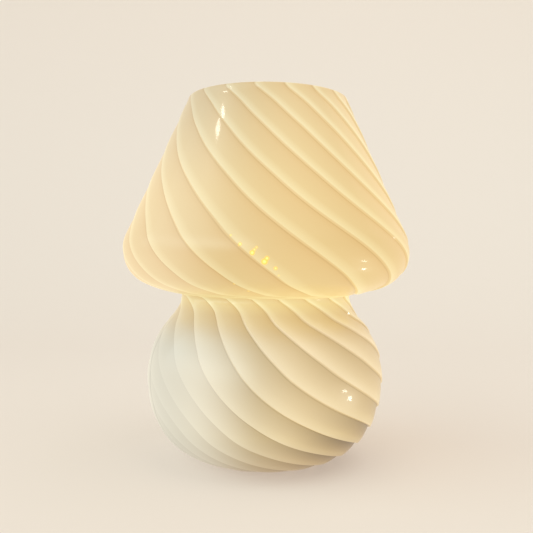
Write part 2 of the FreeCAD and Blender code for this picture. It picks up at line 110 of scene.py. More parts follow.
def noise(tree, scale, detail=3.0, stretch=(1.0, 1.0, 1.0), roughness=0.55):
    return put(tree, "ShaderNodeTexNoise", {"Vector": objectPlace(tree, stretch), "Scale": scale,
                                            "Detail": detail, "Roughness": roughness}).outputs["Fac"]


def bump(tree, height, distance, strength=0.5):
    return put(tree, "ShaderNodeBump", {"Height": height, "Distance": distance, "Strength": strength}).outputs[0]


def addScaled(tree, base, colour, share):
    lift = put(tree, "ShaderNodeVectorMath", {0: colour, "Scale": share}, operation="SCALE").outputs[0]
    return put(tree, "ShaderNodeVectorMath", {0: base, 1: lift}, operation="ADD").outputs[0]


# the swirl glass
swirlGlass = {                       # millimetres, as the frame's glass has them
    "height": 228.0, "wall": 3.6, "rimRadius": 50.5, "shadeRadius": 90.0,
    "shoulderRadius": 23.0, "shoulderHeight": 132.0, "undersideRadius": 77.0,
    "neckRadius": 53.0, "creaseHeight": 104.5, "creaseRound": 1.6, "neckRound": 22.0,
    "ballRadius": 74.0, "ballHeight": 53.5, "ballTopArc": 54.0, "ballBottomArc": 69.0, "footRound": 44.0,
    "footPlane": 1.2, "puntDepth": 9.0, "puntFlare": 6.5, "floorWall": 4.8, "holeRadius": 5.6, "seatRadius": 14.0,
    "ribs": 18, "columns": 14, "ribDepth": 0.95, "edgeShare": 0.06, "crestPower": 1.35,
    "oddRib": 16,                        # the one rib that isn't in step
    "inlet": ((0.0, 62.741, 21.282), radians(-35.0), 4.6),                  # the cord inlet's middle, tilt and radius
    "inletPlain": (8.0, 15.0),           # how far from the inlet the ribs begin and reach their full depth
    "drillLength": 30.0, "drillSides": 32,
    "fadeIn": 5.0, "fadeInLead": 1.0, "fadeOut": 14.0, "fadeOutEnd": 4.0,   # of the ribs, at the rim and at the foot
    "footLedge": 1.0, "outerStep": 1.5, "innerStep": 3.2, "baseSteps": 8, "rimSteps": 9,
    "mergeDistance": 0.002, "sharpAngle": 0.6,                              # the angle in radians
}
# by the length in millimetres down the glass from the rim: the ribs' twist in degrees
twistAt = [(-1, -52.2), (10.6, -37.7), (28.6, -20.8), (58.6, 4.3), (88.6, 35.8), (116.6, 63.7), (143.6, 85.9),
           (148, 97.3), (159.8, 124.0), (179.8, 148.4), (199.8, 169.0), (220, 193.6), (240.3, 221.2), (255.4, 244.2),
           (270.4, 269.3), (300, 318)]
# how far they lean and sway round the front, in radians
leanAt = [(-1, 0.02), (58.6, -0.04), (98.6, -0.28), (143.6, -0.48), (151, 0.0), (179.8, -0.21), (210, -0.38),
          (240.3, -0.49), (270.4, -0.54), (300, -0.56)]
swayAt = [(0, 0.0), (144, 0.0), (149, -0.1), (195, -0.07), (235.3, -0.15), (270.4, -0.11), (300, -0.08)]
# how many degrees the odd rib is out of step
oddAt = [(-1, -1.3), (41, -1.3), (84, -0.8), (105, -1.7), (122, -2.9), (150, -2.9), (300, -1.0)]
# depth of the ribs, as a share of ribDepth
deepAt = [(-1, 1.0), (215, 1.0), (245, 1.7), (275, 1.7), (300, 1.3)]
easeReach, easeCount = 3.0, 7            # the tables are averaged over this reach either way, at so many places


def eased(points, place):
    knots, values = zip(*points)
    shifts = np.linspace(-easeReach, easeReach, easeCount)
    return np.mean([np.interp(place + shift, knots, values) for shift in shifts], axis=0)


def ringPoint(centre, radius, angle):
    return (centre[0] + radius * cos(angle), centre[1] + radius * sin(angle))


def towards(start, end):
    return atan2(end[1] - start[1], end[0] - start[0])


def between(start, end, share):
    return (start[0] + (end[0] - start[0]) * share, start[1] + (end[1] - start[1]) * share)


def circleCrossings(first, firstRadius, second, secondRadius):
    dr, dz = second[0] - first[0], second[1] - first[1]
    apart = hypot(dr, dz)
    along = (apart ** 2 + firstRadius ** 2 - secondRadius ** 2) / (2 * apart)
    across = sqrt(firstRadius ** 2 - along ** 2)
    return [(first[0] + (along * dr - side * across * dz) / apart,
             first[1] + (along * dz + side * across * dr) / apart) for side in (1, -1)]


def glassRows(g):
    shoulder = (g["shadeRadius"] - g["shoulderRadius"], g["shoulderHeight"])
    rim = (g["rimRadius"] - g["wall"] / 2, g["height"] - g["wall"] / 2)
    ballTop = (g["ballRadius"] - g["ballTopArc"], g["ballHeight"])
    ballBottom = (g["ballRadius"] - g["ballBottomArc"], g["ballHeight"])
    apart = hypot(rim[0] - shoulder[0], rim[1] - shoulder[1])
    sideAngle = towards(shoulder, rim) - acos((g["shoulderRadius"] - g["wall"] / 2) / apart)
    underside = max(circleCrossings(shoulder, g["undersideRadius"] - g["shoulderRadius"],
                                    (g["neckRadius"], g["creaseHeight"]), g["undersideRadius"]),
                    key=lambda point: point[1])
    neck = (g["neckRadius"] + g["neckRound"], g["ballHeight"] + sqrt(
        (g["ballTopArc"] + g["neckRound"]) ** 2 - (g["neckRadius"] + g["neckRound"] - ballTop[0]) ** 2))
    crease = min(circleCrossings(underside, g["undersideRadius"] + g["creaseRound"],
                                 neck, g["neckRound"] - g["creaseRound"]))
    footZ = g["footPlane"] + g["footRound"]
    footOut = sqrt((g["ballBottomArc"] - g["footRound"]) ** 2 - (footZ - g["ballHeight"]) ** 2)
    foot = (ballBottom[0] + footOut, footZ)
    aUnder, aCrease = towards(underside, shoulder), towards(underside, crease)
    aNeck = towards(crease, neck) + pi
    aBall, aFoot = towards(ballTop, neck), towards(ballBottom, foot)
    arcs = [  # centre, radius, growth with depth, first and last angle of the outward normal's line
        (shoulder, g["shoulderRadius"], -1, sideAngle, aUnder), (underside, g["undersideRadius"], -1, aUnder, aCrease),
        (crease, g["creaseRound"], 1, aCrease + pi, aNeck), (neck, g["neckRound"], 1, aNeck, aBall + pi),
        (ballTop, g["ballTopArc"], -1, aBall, 0.0), (ballBottom, g["ballBottomArc"], -1, 0.0, aFoot),
        (foot, g["footRound"], -1, aFoot, -pi / 2)]

    def wallRows(depth, step):
        rows = []
        down = 0.0
        end = ringPoint(rim, g["wall"] / 2 - depth, sideAngle)
        for centre, radius, growth, first, last in arcs:
            away = radius + growth * depth
            turn = 0.0 if growth < 0 else pi
            start = ringPoint(centre, away, first)
            gap = hypot(start[0] - end[0], start[1] - end[1])
            if gap > 1e-6:               # a straight stretch before the arc
                count = ceil(gap / step)
                for k in range(count):
                    rows.append((*between(end, start, k / count), cos(first + turn), sin(first + turn),
                                 down + gap * (k / count)))
                down += gap
            sweep = abs(last - first) * radius
            count = max(2, ceil(sweep / step))
            for k in range(count):
                angle = first + (last - first) * k / count
                rows.append((*ringPoint(centre, away, angle), cos(angle + turn), sin(angle + turn),
                             down + sweep * k / count))
            down += sweep
            end = ringPoint(centre, away, last)
        rows.append((*end, 0.0, -1.0, down))
        return rows

    # each row: radius, height, outward normal, length down the wall, depth of the ribs, whether it is outside
    outer = wallRows(0.0, g["outerStep"])
    inner = wallRows(g["wall"], g["innerStep"])
    last = outer[-1][4]
    rows = []
    for r, z, normalR, normalZ, down in outer:
        show = min(1.0, (down + g["fadeInLead"]) / g["fadeIn"])
        show *= min(1.0, max(0.0, (last - g["fadeOutEnd"] - down) / g["fadeOut"]))
        show *= float(eased(deepAt, down))
        rows.append((r, z, normalR, normalZ, down, show, 1.0))

    roof = g["footPlane"] + g["puntDepth"]
    floorTop = roof + g["floorWall"]
    puntRadius = g["seatRadius"] + g["puntFlare"]
    puntRound = (g["puntFlare"] ** 2 + g["puntDepth"] ** 2) / (2 * g["puntDepth"])
    punt = (g["seatRadius"], roof - puntRound)
    gutterRound = puntRound + g["floorWall"]
    aPunt = towards(punt, (puntRadius, g["footPlane"]))
    aGutter = asin((g["footPlane"] + g["wall"] - punt[1]) / gutterRound)
    steps = g["baseSteps"]
    under = [(puntRadius + g["footLedge"], g["footPlane"]), (puntRadius, g["footPlane"])]
    under += [ringPoint(punt, puntRound, aPunt + (pi / 2 - aPunt) * k / steps) for k in range(1, steps + 1)]
    under.append((g["holeRadius"], roof))
    above = [(g["holeRadius"], floorTop), (g["seatRadius"], floorTop)]
    above += [ringPoint(punt, gutterRound, pi / 2 + (aGutter - pi / 2) * k / steps) for k in range(1, steps + 1)]
    rows += [(r, z, 0.0, -1.0, last, 0.0, 1.0) for r, z in under]
    rows += [(r, z, 0.0, -1.0, last, 0.0, 0.0) for r, z in above]
    rows += [(*row, 0.0, 0.0) for row in inner[::-1]]
    for k in range(1, g["rimSteps"]):
        angle = sideAngle + pi - pi * k / g["rimSteps"]
        rows.append((*ringPoint(rim, g["wall"] / 2, angle), cos(angle), sin(angle), 0.0, 0.0, 1.0))
    return rows


def outlineObject(g):
    rows = np.array(glassRows(g))
    mesh = bpy.data.meshes.new("glassOutline")
    count = len(rows)
    mesh.from_pydata([(r * mm, 0.0, z * mm) for r, z in rows[:, :2]],
                     [(k, (k + 1) % count) for k in range(count)], [])
    down = rows[:, 4]
    fields = {"twist": np.radians(eased(twistAt, down)), "lean": eased(leanAt, down), "sway": eased(swayAt, down),
              "odd": np.radians(eased(oddAt, down)), "show": rows[:, 5], "outside": rows[:, 6]}
    for name, values in fields.items():
        mesh.attributes.new(name, "FLOAT", "POINT").data.foreach_set("value", values.astype(np.float32))
    facing = np.zeros((count, 3), np.float32)
    facing[:, 0], facing[:, 2] = rows[:, 2], rows[:, 3]
    mesh.attributes.new("facing", "FLOAT_VECTOR", "POINT").data.foreach_set("vector", facing.ravel())
    thing = bpy.data.objects.new("glassOutline", mesh)
    bpy.context.collection.objects.link(thing)
    return thing


def swirlTree(g):
    tree = bpy.data.node_groups.new("swirlRibs", "GeometryNodeTree")
    face = tree.interface
    face.new_socket("Geometry", in_out="INPUT", socket_type="NodeSocketGeometry")
    for name, kind in (("Ribs", "Int"), ("Columns", "Int"), ("Rib Depth", "Float"), ("Edge Share", "Float"),
                       ("Odd Rib", "Int"), ("Inlet", "Vector"), ("Plain From", "Float"), ("Plain To", "Float"),
                       ("Material", "Material")):
        face.new_socket(name, in_out="INPUT", socket_type="NodeSocket" + kind)
    face.new_socket("Geometry", in_out="OUTPUT", socket_type="NodeSocketGeometry")
    given = put(tree, "NodeGroupInput").outputs
    outline = given["Geometry"]
    # a grid with one row for each point of the outline and one more, to close it; half a step keeps FLOOR sure
    rows = calc(tree, "ADD", put(tree, "GeometryNodeAttributeDomainSize", {"Geometry": outline}).outputs[0], 1.0)
    around = calc(tree, "MULTIPLY", given["Ribs"], given["Columns"])
    width = calc(tree, "ADD", around, 1.0)
    grid = put(tree, "GeometryNodeMeshGrid", {"Vertices X": rows, "Vertices Y": width})
    index = put(tree, "GeometryNodeInputIndex").outputs[0]
    row = calc(tree, "FLOOR", calc(tree, "DIVIDE", calc(tree, "ADD", index, 0.5), width))
    column = calc(tree, "SUBTRACT", index, calc(tree, "MULTIPLY", row, width))
    lastRow = calc(tree, "SUBTRACT", rows, 1.0)
    row = calc(tree, "MULTIPLY", row, calc(tree, "LESS_THAN", row, calc(tree, "SUBTRACT", lastRow, 0.5)))

    def sampled(value, kind):
        node = put(tree, "GeometryNodeSampleIndex", data_type=kind, domain="POINT")
        tree.links.new(outline, node.inputs["Geometry"])
        tree.links.new(value, node.inputs["Value"])
        tree.links.new(row, node.inputs["Index"])
        return node.outputs["Value"]

    def attribute(name, kind="FLOAT"):
        node = put(tree, "GeometryNodeInputNamedAttribute", {"Name": name}, data_type=kind)
        return sampled(node.outputs["Attribute"], kind)

    rib = calc(tree, "FLOOR", calc(tree, "DIVIDE", calc(tree, "ADD", column, 0.5), given["Columns"]))
    step = calc(tree, "SUBTRACT", column, calc(tree, "MULTIPLY", rib, given["Columns"]))
    isEdge = calc(tree, "LESS_THAN", step, 0.5)
    notEdge = calc(tree, "SUBTRACT", 1.0, isEdge)
    slope = calc(tree, "DIVIDE", calc(tree, "SUBTRACT", step, 1.0), calc(tree, "SUBTRACT", given["Columns"], 1.0))
    slope = calc(tree, "MAXIMUM", slope, 0.0)
    openShare = calc(tree, "SUBTRACT", 1.0, given["Edge Share"])
    share = calc(tree, "MULTIPLY", notEdge, calc(tree, "MULTIPLY_ADD", slope, openShare, given["Edge Share"]))
    fall = calc(tree, "POWER", slope, g["crestPower"])
    crest = calc(tree, "MULTIPLY", notEdge, calc(tree, "SUBTRACT", 1.0, fall))
    place = calc(tree, "ADD", rib, share)
    base = calc(tree, "MULTIPLY_ADD", calc(tree, "DIVIDE", place, given["Ribs"]), 2 * pi, attribute("twist"))
    near = calc(tree, "ABSOLUTE", calc(tree, "SUBTRACT", place, given["Odd Rib"]))
    base = calc(tree, "MULTIPLY_ADD", calc(tree, "MAXIMUM", calc(tree, "SUBTRACT", 1.0, near), 0.0),
                attribute("odd"), base)
    lean = calc(tree, "MULTIPLY", attribute("lean"), calc(tree, "COSINE", base))
    sway = calc(tree, "MULTIPLY", attribute("sway"), calc(tree, "SINE", calc(tree, "MULTIPLY", base, 2.0)))
    angle = calc(tree, "ADD", base, calc(tree, "ADD", lean, sway))
    sunk = calc(tree, "MULTIPLY", calc(tree, "SUBTRACT", crest, 1.0), given["Rib Depth"])
    place = sampled(put(tree, "GeometryNodeInputPosition").outputs[0], "FLOAT_VECTOR")

    def turned(point):
        parts = put(tree, "ShaderNodeSeparateXYZ", {0: point}).outputs
        x = calc(tree, "MULTIPLY", parts[0], calc(tree, "SINE", angle))
        y = calc(tree, "MULTIPLY", calc(tree, "MULTIPLY", parts[0], calc(tree, "COSINE", angle)), -1.0)
        return put(tree, "ShaderNodeCombineXYZ", {0: x, 1: y, 2: parts[2]}).outputs[0]

    away = put(tree, "ShaderNodeVectorMath", {0: turned(place), 1: given["Inlet"]}, operation="DISTANCE")
    plain = spread(tree, away.outputs["Value"], given["Plain From"], given["Plain To"])
    sunk = calc(tree, "MULTIPLY", sunk, calc(tree, "MULTIPLY", attribute("show"), plain))
    moved = put(tree, "ShaderNodeVectorMath", operation="SCALE")
    tree.links.new(attribute("facing", "FLOAT_VECTOR"), moved.inputs[0])
    tree.links.new(sunk, moved.inputs["Scale"])
    summed = put(tree, "ShaderNodeVectorMath", {0: place, 1: moved.outputs[0]}, operation="ADD").outputs[0]
    shape = put(tree, "GeometryNodeSetPosition", {"Geometry": grid.outputs["Mesh"], "Position": turned(summed)})
    shown = calc(tree, "ADD", share, isEdge)
    stored = shape.outputs[0]
    for name, value in (("rib", shown), ("outside", attribute("outside"))):
        node = put(tree, "GeometryNodeStoreNamedAttribute", {"Geometry": stored, "Name": name, "Value": value},
                   data_type="FLOAT", domain="POINT")
        stored = node.outputs[0]
    merged = put(tree, "GeometryNodeMergeByDistance", {
        "Geometry": stored, "Distance": g["mergeDistance"] * mm}).outputs[0]
    smooth = put(tree, "GeometryNodeSetShadeSmooth", {"Geometry": merged, "Shade Smooth": True}).outputs[0]
    bend = put(tree, "GeometryNodeInputMeshEdgeAngle").outputs["Unsigned Angle"]
    sharp = put(tree, "FunctionNodeCompare", {"A": bend, "B": g["sharpAngle"]}, data_type="FLOAT",
                operation="GREATER_THAN")
    marked = put(tree, "GeometryNodeStoreNamedAttribute", {"Geometry": smooth, "Name": "sharp_edge"},
                 data_type="BOOLEAN", domain="EDGE")
    tree.links.new(sharp.outputs[0], marked.inputs["Value"])
    real = put(tree, "GeometryNodeRealizeInstances", {"Geometry": marked.outputs[0]}).outputs[0]
    coated = put(tree, "GeometryNodeSetMaterial", {"Geometry": real, "Material": given["Material"]}).outputs[0]
    put(tree, "NodeGroupOutput", {"Geometry": coated})
    return tree


def applyTree(thing, tree, values, name):
    modifier = thing.modifiers.new("make", "NODES")
    modifier.node_group = tree
    sockets = {item.name: item.identifier for item in tree.interface.items_tree if item.in_out == "INPUT"}
    for key, value in values.items():
        modifier[sockets[key]] = value
    bpy.context.view_layer.update()
    made = bpy.data.meshes.new_from_object(thing.evaluated_get(bpy.context.evaluated_depsgraph_get()))
    made.name = name
    bpy.data.objects.remove(thing)
    result = bpy.data.objects.new(name, made)
    bpy.context.collection.objects.link(result)
    return result


def cutHole(thing, glass, g):
    middle, tilt, radius = g["inlet"]
    aim = Matrix.Translation(Vector(middle) * mm) @ Matrix.Rotation(tilt - pi / 2, 4, "X")
    work = bmesh.new()
    bmesh.ops.create_cone(work, cap_ends=True, segments=g["drillSides"], radius1=radius * mm, radius2=radius * mm,
                          depth=g["drillLength"] * mm, matrix=aim)
    mesh = bpy.data.meshes.new("drill")
    work.to_mesh(mesh)
    work.free()
    mesh.materials.append(glass)
    drill = bpy.data.objects.new("drill", mesh)
    bpy.context.collection.objects.link(drill)
    cut = thing.modifiers.new("cut", "BOOLEAN")
    cut.operation, cut.solver, cut.object = "DIFFERENCE", "EXACT", drill
    bpy.context.view_layer.update()
    made = bpy.data.meshes.new_from_object(thing.evaluated_get(bpy.context.evaluated_depsgraph_get()))
    thing.modifiers.clear()
    made.materials.clear()
    made.materials.append(glass)
    made.polygons.foreach_set("material_index", [0] * len(made.polygons))
    thing.data = made
    bpy.data.objects.remove(drill)


def facesOut(thing):
    work = bmesh.new()
    work.from_mesh(thing.data)
    bmesh.ops.recalc_face_normals(work, faces=work.faces)
    work.to_mesh(thing.data)
    work.free()


# how the glass looks and glows
glassLook = {
    # colour of the glow across one rib, from its edge, by share of the rib's width: on the shade and on the ball; the
    # bright band by the edge is the thin glass's own glow, the dark end before the next edge is painted shade in the
    # step's corner
    "glowShade": [(0.0, (0.72, 0.54, 0.20)), (0.07, (0.80, 0.64, 0.285)), (0.16, (0.775, 0.60, 0.25)),
                  (0.34, (0.715, 0.515, 0.19)), (0.80, (0.705, 0.485, 0.175)), (0.95, (0.685, 0.455, 0.155)),
                  (1.0, (0.58, 0.37, 0.11))],
    "glowBall": [(0.0, (0.66, 0.48, 0.20)), (0.06, (0.84, 0.66, 0.33)), (0.20, (0.78, 0.60, 0.27)),
                 (0.45, (0.68, 0.495, 0.19)), (0.80, (0.58, 0.40, 0.13)), (0.96, (0.52, 0.35, 0.105)),
                 (1.0, (0.42, 0.27, 0.075))],
    # painted shadow: how much of the glow is left across one rib on the foot's side away from the daylight
    "footPaintedShade": [(0.0, (1.0, 1.0, 1.0)), (0.30, (0.95, 0.93, 0.90)), (0.62, (0.62, 0.56, 0.48)),
                  (0.9, (0.34, 0.28, 0.20)), (1.0, (0.18, 0.13, 0.08))],
    # where that painted shadow lies by height and along x, and how far it also paints shadow on the glass's own colour
    "footHeight": (0.052, 0.018), "footSide": (-0.02, 0.055), "footPaintedShadow": (0.06, 0.05, 0.04), "footPaintedShadowShare": 0.5,
    # painted dark line inside the ball's outline, by how squarely the surface is seen: painted shade for the light bent
    # in the clear outer layer, drawn only under the painted haze
    "rimLine": 0.76, "rimWidth": 0.035, "rimShade": 0.16,
    # painted light: an even haze of daylight on the ball, painted into the glow as emission: where it lies along x, and
    # by height at its top and foot
    "paintedHaze": (0.625, 0.605, 0.515), "paintedHazeSide": (0.0, -0.044), "paintedHazeTop": (0.100, 0.062),
    "paintedHazeFoot": (0.0, 0.045, 0.45, 1.0), "hazeShade": 0.88,
    # and painted daylight on the shade's left, above and below its widest ring, painted into the glow as emission
    "paintedDaylightColour": (1.0, 0.94, 0.88), "paintedDaylightSide": (-0.015, -0.065), "paintedDaylightHeight": (0.104, 0.110),
    "paintedDaylightRing": (0.142, 0.124, 0.125, 0.165),
    # strength of the glow by height in metres, for red, green and blue
    "level": [(0.0, (0.24, 0.19, 0.13)), (0.012, (0.46, 0.39, 0.31)), (0.03, (0.73, 0.70, 0.67)),
              (0.06, (0.72, 0.67, 0.63)), (0.085, (0.76, 0.71, 0.75)), (0.095, (0.88, 0.87, 0.97)),
              (0.102, (1.10, 1.20, 1.40)), (0.106, (1.04, 1.08, 1.15)), (0.115, (1.01, 1.01, 1.08)),
              (0.13, (1.01, 0.99, 1.04)), (0.16, (1.05, 1.06, 1.20)), (0.20, (1.04, 1.08, 1.35)),
              (0.228, (1.00, 1.05, 1.38))],
    "highest": 1.5,
    # the glow's share on the left of the lamp, and where it starts and ends, in metres from the middle
    "sides": (0.025, -0.065), "leftShare": 0.14,
    # how much of that holds everywhere, and where the rest lies by height: on the ball and high on the shade
    "leftBase": 0.20, "leftBall": (0.102, 0.072), "leftHigh": (0.16, 0.235, 0.0, 0.36),
    # heights over which the shade's colours give way to the ball's
    "ballHeight": (0.108, 0.075),
    # colour of the glass under daylight, across one rib; the darker end before the next edge is painted shade in the
    # step's corner
    "bodyShade": [(0.0, (0.125, 0.118, 0.10)), (1.0, (0.105, 0.094, 0.074))],
    "bodyBall": [(0.0, (0.37, 0.365, 0.335)), (0.5, (0.34, 0.33, 0.29)), (0.95, (0.31, 0.29, 0.24)),
                 (1.0, (0.27, 0.245, 0.195))],
    # gloss of the skin and its clear coat, and how much of each is taken away under the painted haze and the painted
    # daylight
    "roughness": 0.38, "specular": 0.5, "specularLost": 0.38, "coat": 0.30, "coatLost": 0.23, "coatRoughness": 0.07,
    # the inside, seen down the mouth
    "inside": (1.0, 0.78, 0.40), "insideStrength": 0.50, "insideRibs": 0.6, "lining": (0.36, 0.31, 0.22),
    "liningRoughness": 0.25,
    # painted glints: the filaments seen in a rib's edge, painted as spots of emission: place in millimetres, radius in
    # millimetres, strength
    "paintedGlints": [((-18.4, -86.7, 139.5), 0.60, 0.55), ((-13.5, -88.7, 135.0), 0.89, 0.80),
               ((-14.7, -88.7, 133.8), 0.60, 0.50), ((-7.2, -89.6, 130.6), 1.18, 1.00),
               ((-6.1, -89.6, 132.2), 0.82, 0.60), ((-5.0, -89.6, 133.4), 0.71, 0.50),
               ((-0.9, -89.1, 126.1), 1.47, 1.00), ((0.4, -89.5, 127.8), 1.12, 0.80),
               ((4.9, -87.8, 122.7), 0.95, 0.70), ((6.6, -85.6, 118.9), 0.60, 0.35),
               ((-16.6, -78.1, 114.0), 0.67, 0.40), ((-9.3, -71.0, 109.9), 0.74, 0.40)],
    "paintedGlintHalo": 1.6, "paintedGlintCore": 0.5,
    "paintedGlintColour": (1.1, 0.66, 0.0), "paintedGlintHeart": (1.3, 1.1, 0.30),
}
black = (0.0, 0.0, 0.0)


def heightRamp(tree, height, stops, highest, top=0.25):
    return ramp(tree, calc(tree, "DIVIDE", height, top),
                [(z / top, tuple(value / highest for value in colour)) for z, colour in stops])


def glowGlass(look):
    material, tree = newMaterial("swirlGlassGlow")
    rib = put(tree, "ShaderNodeAttribute", attribute_name="rib").outputs["Fac"]
    outside = put(tree, "ShaderNodeAttribute", attribute_name="outside").outputs["Fac"]
    here = put(tree, "ShaderNodeTexCoord").outputs["Object"]
    side, _, height = put(tree, "ShaderNodeSeparateXYZ", {0: here}).outputs

    # where things lie
    onBall = spread(tree, height, *look["ballHeight"])
    # painted shadow on the foot's side away from the daylight
    paintedShadowSide = calc(tree, "MULTIPLY", spread(tree, height, *look["footHeight"]), spread(tree, side, *look["footSide"]))
    # painted haze of daylight on the ball's left, fading at its top and foot
    paintedHazeHeight = calc(tree, "MULTIPLY", spread(tree, height, *look["paintedHazeTop"]), spread(tree, height, *look["paintedHazeFoot"]))
    paintedHaze = calc(tree, "MULTIPLY", spread(tree, side, *look["paintedHazeSide"]), paintedHazeHeight)
    # painted daylight on the shade's left
    paintedDaylight = calc(tree, "MULTIPLY", spread(tree, side, *look["paintedDaylightSide"]), spread(tree, height, *look["paintedDaylightHeight"]))
    leftHeight = calc(tree, "MAXIMUM", spread(tree, height, *look["leftBall"]), spread(tree, height, *look["leftHigh"]))
    left = calc(tree, "MULTIPLY", spread(tree, side, *look["sides"], 0.0, 1.0 - look["leftShare"]),
                calc(tree, "MULTIPLY_ADD", leftHeight, 1.0 - look["leftBase"], look["leftBase"]))

    # the lamp's glow through the glass, with painted haze, painted daylight and painted glints added
    # the glow across each rib, with painted shade at its end before the next edge
    glow = blendColour(tree, onBall, ramp(tree, rib, look["glowShade"]), ramp(tree, rib, look["glowBall"]))
    glow = blendColour(tree, 1.0, glow, heightRamp(tree, height, look["level"], look["highest"]), "MULTIPLY")
    # the glow darkened across each rib by the painted shadow
    shaded = blendColour(tree, 1.0, glow, ramp(tree, rib, look["footPaintedShade"]), "MULTIPLY")
    glow = blendColour(tree, paintedShadowSide, glow, shaded)
    strength = calc(tree, "MULTIPLY", calc(tree, "SUBTRACT", 1.0, left), look["highest"])
    light = put(tree, "ShaderNodeVectorMath", {0: glow, "Scale": strength}, operation="SCALE").outputs[0]
    # the painted haze and then the painted daylight added to the glow
    light = addScaled(tree, light, look["paintedHaze"], paintedHaze)
    paintedDaylightShare = calc(tree, "MULTIPLY", paintedDaylight, spread(tree, height, *look["paintedDaylightRing"]))
    light = addScaled(tree, light, look["paintedDaylightColour"], paintedDaylightShare)
    # painted glints of the filaments, each a spot of emission with a hot heart
    for spot, radius, power in look["paintedGlints"]:
        away = put(tree, "ShaderNodeVectorMath", {0: here, 1: Vector(spot) * mm}, operation="DISTANCE").outputs["Value"]
        halo = spread(tree, away, radius * look["paintedGlintHalo"] * mm, radius * look["paintedGlintCore"] * mm)
        heart = spread(tree, away, radius * mm, 0.0)
        colour = blendColour(tree, heart, look["paintedGlintColour"], look["paintedGlintHeart"])
        light = blendColour(tree, calc(tree, "MULTIPLY", halo, power), light, colour)

    # the colour that daylight meets, with painted shade at each rib's end
    body = blendColour(tree, onBall, ramp(tree, rib, look["bodyShade"]), ramp(tree, rib, look["bodyBall"]))
    # under the painted haze the glass's own colour is darkened
    body = blendColour(tree, calc(tree, "MULTIPLY", paintedHaze, look["hazeShade"]), body, black)
    # painted shadow on the glass's own colour, on the foot's side away from the daylight
    body = blendColour(tree, calc(tree, "MULTIPLY", paintedShadowSide, look["footPaintedShadowShare"]), body, look["footPaintedShadow"])

    # painted dark line near the ball's outline, set by viewing angle, under the painted haze
    square = put(tree, "ShaderNodeLayerWeight", {"Blend": 0.5}).outputs["Facing"]
    offLine = calc(tree, "ABSOLUTE", calc(tree, "SUBTRACT", square, look["rimLine"]))
    line = calc(tree, "MULTIPLY", spread(tree, offLine, look["rimWidth"], 0.0), paintedHaze)
    line = calc(tree, "MULTIPLY", line, look["rimShade"])
    light = blendColour(tree, line, light, black)
    body = blendColour(tree, line, body, black)

    dull = calc(tree, "MAXIMUM", paintedHaze, paintedDaylight)
    skin = put(tree, "ShaderNodeBsdfPrincipled", {
        "Base Color": body, "Roughness": look["roughness"], "IOR": 1.5, "Coat Roughness": look["coatRoughness"],
        "Specular IOR Level": calc(tree, "MULTIPLY_ADD", dull, -look["specularLost"], look["specular"]),
        "Coat Weight": calc(tree, "MULTIPLY_ADD", dull, -look["coatLost"], look["coat"]),
        "Emission Color": light, "Emission Strength": 1.0})
    insideLight = blendColour(tree, look["insideRibs"], look["inside"], ramp(tree, rib, look["glowBall"]))
    lining = put(tree, "ShaderNodeBsdfPrincipled", {
        "Base Color": (*look["lining"], 1.0), "Roughness": look["liningRoughness"],
        "Emission Color": insideLight, "Emission Strength": look["insideStrength"]})
    both = put(tree, "ShaderNodeMixShader", {0: outside, 1: lining.outputs[0], 2: skin.outputs[0]})
    finishMaterial(tree, both.outputs[0])
    return material


glassOutline = outlineObject(swirlGlass)
glassMaterial = glowGlass(glassLook)
glassBody = applyTree(glassOutline, swirlTree(swirlGlass), {
    "Ribs": swirlGlass["ribs"], "Columns": swirlGlass["columns"], "Rib Depth": swirlGlass["ribDepth"] * mm,
    "Edge Share": swirlGlass["edgeShare"], "Odd Rib": swirlGlass["oddRib"],
    "Inlet": Vector(swirlGlass["inlet"][0]) * mm,
    "Plain From": swirlGlass["inletPlain"][0] * mm, "Plain To": swirlGlass["inletPlain"][1] * mm,
    "Material": glassMaterial}, "swirlGlassBody")
cutHole(glassBody, glassMaterial, swirlGlass)
facesOut(glassBody)
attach(glassBody, "lamp")
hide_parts("glass_body")
print("glass body", len(glassBody.data.polygons), "faces")

